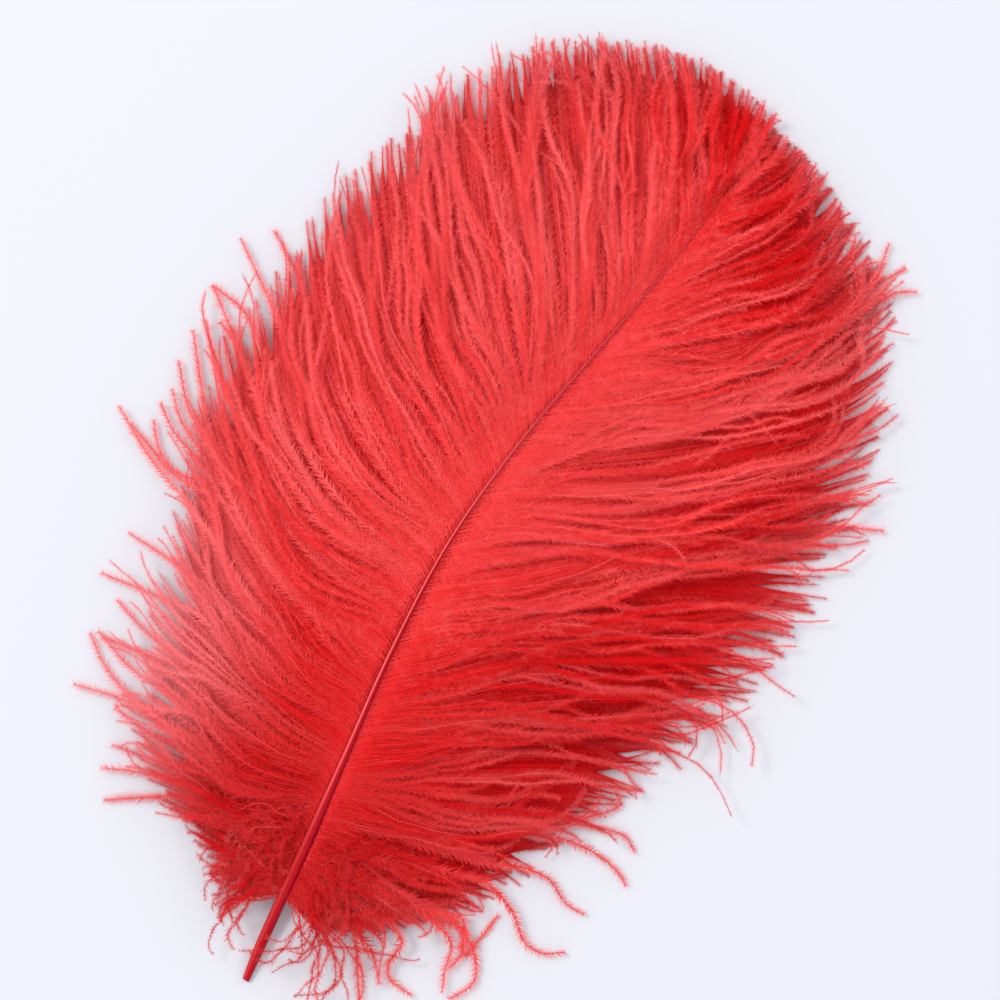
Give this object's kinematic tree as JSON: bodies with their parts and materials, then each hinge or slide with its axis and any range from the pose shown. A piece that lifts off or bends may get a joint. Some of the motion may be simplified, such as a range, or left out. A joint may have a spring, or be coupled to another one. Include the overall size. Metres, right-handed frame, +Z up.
{
  "type": "ostrich feather",
  "caption": "Dyed ostrich plume: a bowed, tapering shaft with two wide vanes of soft barbs drawn into pointed locks, lying on its hollow side.",
  "frame": {"origin": "middle of the bounding box in plan, on the surface that the plume lies on; the shaft's middle arches over it", "axes": "+Y runs from the cut quill to the tip, +X is to the right of the shaft seen from above, +Z is up, out of the rounded outer side"},
  "size_m": [0.2258, 0.3394, 0.0297],
  "materials": {
    "dyed_feather": "dyed scarlet keratin, silky and matt, with a satin shaft"
  },
  "bodies": {
    "root": {"feather": "dyed_feather"}
  },
  "joints": []
}
